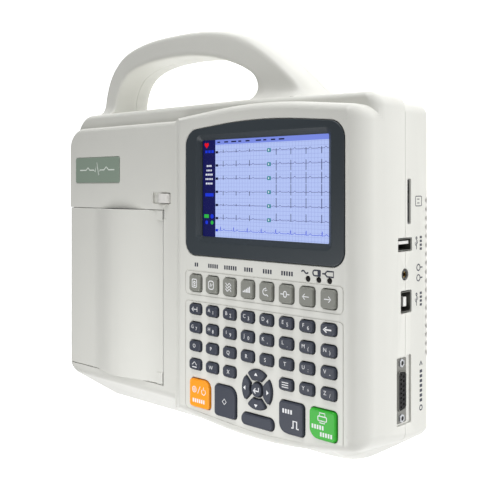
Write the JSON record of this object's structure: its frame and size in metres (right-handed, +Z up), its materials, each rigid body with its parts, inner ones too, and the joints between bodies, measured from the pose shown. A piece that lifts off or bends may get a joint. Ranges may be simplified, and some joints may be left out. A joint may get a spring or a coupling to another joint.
{
  "type": "portable ecg machine",
  "caption": "Portable ECG recorder with flat casing, carrying handle, colour screen, keypad, hinged strip-printer door and side sockets.",
  "frame": {"origin": "centre of the bounding box's bottom, on the surface that the feet rest on", "axes": "+Z up out of the keypad panel, +Y towards the carrying handle, +X towards the socket side"},
  "size_m": [0.3, 0.296, 0.08],
  "materials": {
    "casing": "fine satin texture",
    "bezel": "satin",
    "screen_glass": "clear gloss",
    "display": "gloss",
    "dark_rubber": "matte",
    "circuit_board": "solder mask",
    "dark_plastic": "satin",
    "bare_metal": "satin",
    "battery_wrap": "gloss shrink wrap",
    "plate": "satin label",
    "gear_plastic": "satin",
    "brass": "turned",
    "paper": "matte",
    "white_plastic": "satin",
    "orange_key": "satin",
    "green_key": "satin",
    "soft_key": "satin",
    "slate_key": "satin"
  },
  "bodies": {
    "machine": {"upper_casing": "casing", "lower_casing": "casing", "screen_bezel": "bezel", "screen_window": "screen_glass", "lcd_panel": "display", "keypad_mat": "dark_rubber", "key_board": "circuit_board", "main_board": "circuit_board", "printer_frame": "dark_plastic", "print_head": "bare_metal", "stepper_motor": "bare_metal", "tear_bar": "bare_metal", "power_board": "circuit_board", "mains_inlet": "dark_plastic", "earth_stud": "bare_metal", "patient_socket": "bare_metal", "usb_host_socket": "bare_metal", "usb_device_socket": "bare_metal", "audio_jack": "dark_plastic", "card_socket": "bare_metal", "battery_pack": "battery_wrap", "battery_cover": "casing", "case_screws": "bare_metal", "feet": "dark_rubber", "name_plate": "plate", "status_lights": "dark_plastic", "speaker": "dark_plastic", "door_pins": "bare_metal"},
    "door": {"printer_door": "casing"},
    "platen": {"platen_roller": "dark_rubber", "platen_shaft": "bare_metal"},
    "idler": {"idler_gear": "gear_plastic"},
    "pinion": {"motor_pinion": "brass"},
    "roll": {"paper_roll": "paper"},
    "latch": {"latch_knob": "white_plastic"},
    "soft_key_1_body": {"soft_key_1": "soft_key"},
    "soft_key_2_body": {"soft_key_2": "soft_key"},
    "soft_key_3_body": {"soft_key_3": "soft_key"},
    "soft_key_4_body": {"soft_key_4": "soft_key"},
    "soft_key_5_body": {"soft_key_5": "soft_key"},
    "soft_key_6_body": {"soft_key_6": "soft_key"},
    "soft_key_7_body": {"soft_key_7": "soft_key"},
    "soft_key_8_body": {"soft_key_8": "soft_key"},
    "letter_keys_row_1_body": {"letter_keys_row_1": "slate_key"},
    "letter_keys_row_2_body": {"letter_keys_row_2": "slate_key"},
    "letter_keys_row_3_body": {"letter_keys_row_3": "slate_key"},
    "letter_keys_row_4_body": {"letter_keys_row_4": "slate_key"},
    "arrow_key_up_body": {"arrow_key_up": "slate_key"},
    "arrow_key_left_body": {"arrow_key_left": "slate_key"},
    "arrow_key_down_body": {"arrow_key_down": "slate_key"},
    "arrow_key_right_body": {"arrow_key_right": "slate_key"},
    "enter_key_body": {"enter_key": "slate_key"},
    "power_key_body": {"power_key": "orange_key"},
    "function_key_body": {"function_key": "slate_key"},
    "space_key_body": {"space_key": "slate_key"},
    "copy_key_body": {"copy_key": "slate_key"},
    "start_key_body": {"start_key": "green_key"}
  },
  "joints": [
    {"name": "door_hinge", "type": "hinge", "parent": "machine", "child": "door", "pos_m": [-0.1468, -0.048, 0.0648], "axis": [0, -1, 0], "range_deg": [0, 100]},
    {"name": "platen_spin", "type": "hinge", "parent": "door", "child": "platen", "pos_m": [-0.0375, -0.048, 0.055], "axis": [0, 1, 0], "continuous": true},
    {"name": "idler_spin", "type": "hinge", "parent": "machine", "child": "idler", "pos_m": [-0.0375, 0.014, 0.0368], "axis": [0, 1, 0], "continuous": true},
    {"name": "pinion_spin", "type": "hinge", "parent": "machine", "child": "pinion", "pos_m": [-0.0375, 0.014, 0.0221], "axis": [0, 1, 0], "continuous": true},
    {"name": "roll_spin", "type": "hinge", "parent": "machine", "child": "roll", "pos_m": [-0.083, -0.048, 0.036], "axis": [0, 1, 0], "continuous": true},
    {"name": "latch_slide", "type": "slide", "parent": "machine", "child": "latch", "axis": [-1, 0, 0], "range_m": [0, 0.006], "stiffness_N_per_m": 250, "springref_m": -0.002},
    {"name": "soft_key_1_press", "type": "slide", "parent": "machine", "child": "soft_key_1_body", "axis": [0, 0, -1], "range_m": [0, 0.0012], "stiffness_N_per_m": 500, "springref_m": -0.0008},
    {"name": "soft_key_2_press", "type": "slide", "parent": "machine", "child": "soft_key_2_body", "axis": [0, 0, -1], "range_m": [0, 0.0012], "stiffness_N_per_m": 500, "springref_m": -0.0008},
    {"name": "soft_key_3_press", "type": "slide", "parent": "machine", "child": "soft_key_3_body", "axis": [0, 0, -1], "range_m": [0, 0.0012], "stiffness_N_per_m": 500, "springref_m": -0.0008},
    {"name": "soft_key_4_press", "type": "slide", "parent": "machine", "child": "soft_key_4_body", "axis": [0, 0, -1], "range_m": [0, 0.0012], "stiffness_N_per_m": 500, "springref_m": -0.0008},
    {"name": "soft_key_5_press", "type": "slide", "parent": "machine", "child": "soft_key_5_body", "axis": [0, 0, -1], "range_m": [0, 0.0012], "stiffness_N_per_m": 500, "springref_m": -0.0008},
    {"name": "soft_key_6_press", "type": "slide", "parent": "machine", "child": "soft_key_6_body", "axis": [0, 0, -1], "range_m": [0, 0.0012], "stiffness_N_per_m": 500, "springref_m": -0.0008},
    {"name": "soft_key_7_press", "type": "slide", "parent": "machine", "child": "soft_key_7_body", "axis": [0, 0, -1], "range_m": [0, 0.0012], "stiffness_N_per_m": 500, "springref_m": -0.0008},
    {"name": "soft_key_8_press", "type": "slide", "parent": "machine", "child": "soft_key_8_body", "axis": [0, 0, -1], "range_m": [0, 0.0012], "stiffness_N_per_m": 500, "springref_m": -0.0008},
    {"name": "letter_keys_row_1_press", "type": "slide", "parent": "machine", "child": "letter_keys_row_1_body", "axis": [0, 0, -1], "range_m": [0, 0.0012], "stiffness_N_per_m": 500, "springref_m": -0.0008},
    {"name": "letter_keys_row_2_press", "type": "slide", "parent": "machine", "child": "letter_keys_row_2_body", "axis": [0, 0, -1], "range_m": [0, 0.0012], "stiffness_N_per_m": 500, "springref_m": -0.0008},
    {"name": "letter_keys_row_3_press", "type": "slide", "parent": "machine", "child": "letter_keys_row_3_body", "axis": [0, 0, -1], "range_m": [0, 0.0012], "stiffness_N_per_m": 500, "springref_m": -0.0008},
    {"name": "letter_keys_row_4_press", "type": "slide", "parent": "machine", "child": "letter_keys_row_4_body", "axis": [0, 0, -1], "range_m": [0, 0.0012], "stiffness_N_per_m": 500, "springref_m": -0.0008},
    {"name": "arrow_key_up_press", "type": "slide", "parent": "machine", "child": "arrow_key_up_body", "axis": [0, 0, -1], "range_m": [0, 0.0012], "stiffness_N_per_m": 500, "springref_m": -0.0008},
    {"name": "arrow_key_left_press", "type": "slide", "parent": "machine", "child": "arrow_key_left_body", "axis": [0, 0, -1], "range_m": [0, 0.0012], "stiffness_N_per_m": 500, "springref_m": -0.0008},
    {"name": "arrow_key_down_press", "type": "slide", "parent": "machine", "child": "arrow_key_down_body", "axis": [0, 0, -1], "range_m": [0, 0.0012], "stiffness_N_per_m": 500, "springref_m": -0.0008},
    {"name": "arrow_key_right_press", "type": "slide", "parent": "machine", "child": "arrow_key_right_body", "axis": [0, 0, -1], "range_m": [0, 0.0012], "stiffness_N_per_m": 500, "springref_m": -0.0008},
    {"name": "enter_key_press", "type": "slide", "parent": "machine", "child": "enter_key_body", "axis": [0, 0, -1], "range_m": [0, 0.0012], "stiffness_N_per_m": 500, "springref_m": -0.0008},
    {"name": "power_key_press", "type": "slide", "parent": "machine", "child": "power_key_body", "axis": [0, 0, -1], "range_m": [0, 0.0012], "stiffness_N_per_m": 500, "springref_m": -0.0008},
    {"name": "function_key_press", "type": "slide", "parent": "machine", "child": "function_key_body", "axis": [0, 0, -1], "range_m": [0, 0.0012], "stiffness_N_per_m": 500, "springref_m": -0.0008},
    {"name": "space_key_press", "type": "slide", "parent": "machine", "child": "space_key_body", "axis": [0, 0, -1], "range_m": [0, 0.0012], "stiffness_N_per_m": 500, "springref_m": -0.0008},
    {"name": "copy_key_press", "type": "slide", "parent": "machine", "child": "copy_key_body", "axis": [0, 0, -1], "range_m": [0, 0.0012], "stiffness_N_per_m": 500, "springref_m": -0.0008},
    {"name": "start_key_press", "type": "slide", "parent": "machine", "child": "start_key_body", "axis": [0, 0, -1], "range_m": [0, 0.0012], "stiffness_N_per_m": 500, "springref_m": -0.0008}
  ],
  "couplings": [
    {"joint": "idler_spin", "follows": "platen_spin", "ratio": -0.73333},
    {"joint": "pinion_spin", "follows": "platen_spin", "ratio": 1.8333}
  ]
}
